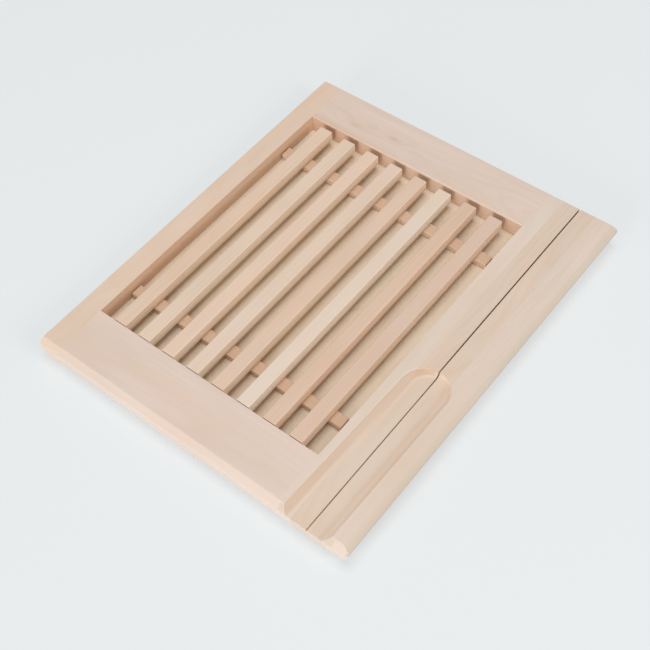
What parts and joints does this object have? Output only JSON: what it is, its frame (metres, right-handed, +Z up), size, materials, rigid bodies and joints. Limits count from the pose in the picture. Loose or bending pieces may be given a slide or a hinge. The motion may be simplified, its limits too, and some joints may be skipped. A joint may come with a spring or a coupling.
{
  "type": "bread cutting board",
  "caption": "Wooden bread-cutting board: a frame round a crumb pocket, a lift-out grate of slats, and a side slot and scooped trough that hold a bread knife.",
  "frame": {"origin": "middle of the underside: the centre of the box at its base, where the board rests", "axes": "+Z up through the slats, +Y from the chamfered front edge to the back, along the slats and the knife slot, +X towards the rounded edge beside the knife slot"},
  "size_m": [0.323, 0.386, 0.0225],
  "materials": {
    "frame_wood": "pale beech, sanded, unlacquered",
    "panel_wood": "pale beech, sanded, unlacquered",
    "slat_wood": "pale beech, planed square, unlacquered",
    "crossbar_wood": "warmer beech, planed, unlacquered",
    "dowel_wood": "turned beech",
    "brad_steel": "plain steel wire"
  },
  "bodies": {
    "board": {"left_stile": "frame_wood", "inner_stile": "frame_wood", "slot_stave": "frame_wood", "outer_rail": "frame_wood", "front_rail": "frame_wood", "back_rail": "frame_wood", "floor_panel": "panel_wood", "dowel_left_front_outer": "dowel_wood", "dowel_left_front_inner": "dowel_wood", "dowel_left_back_inner": "dowel_wood", "dowel_left_back_outer": "dowel_wood", "dowel_right_front_outer": "dowel_wood", "dowel_right_front_inner": "dowel_wood", "dowel_right_back_inner": "dowel_wood", "dowel_right_back_outer": "dowel_wood"},
    "grate": {"slat_1": "slat_wood", "slat_2": "slat_wood", "slat_3": "slat_wood", "slat_4": "slat_wood", "slat_5": "slat_wood", "slat_6": "slat_wood", "slat_7": "slat_wood", "slat_8": "slat_wood", "crossbar_front": "crossbar_wood", "crossbar_back": "crossbar_wood", "brad_front_1": "brad_steel", "brad_front_2": "brad_steel", "brad_front_3": "brad_steel", "brad_front_4": "brad_steel", "brad_front_5": "brad_steel", "brad_front_6": "brad_steel", "brad_front_7": "brad_steel", "brad_front_8": "brad_steel", "brad_back_1": "brad_steel", "brad_back_2": "brad_steel", "brad_back_3": "brad_steel", "brad_back_4": "brad_steel", "brad_back_5": "brad_steel", "brad_back_6": "brad_steel", "brad_back_7": "brad_steel", "brad_back_8": "brad_steel"}
  },
  "joints": [
    {"name": "grate_lift", "type": "slide", "parent": "board", "child": "grate", "axis": [0, 0, 1], "range_m": [0, 0.06]}
  ]
}
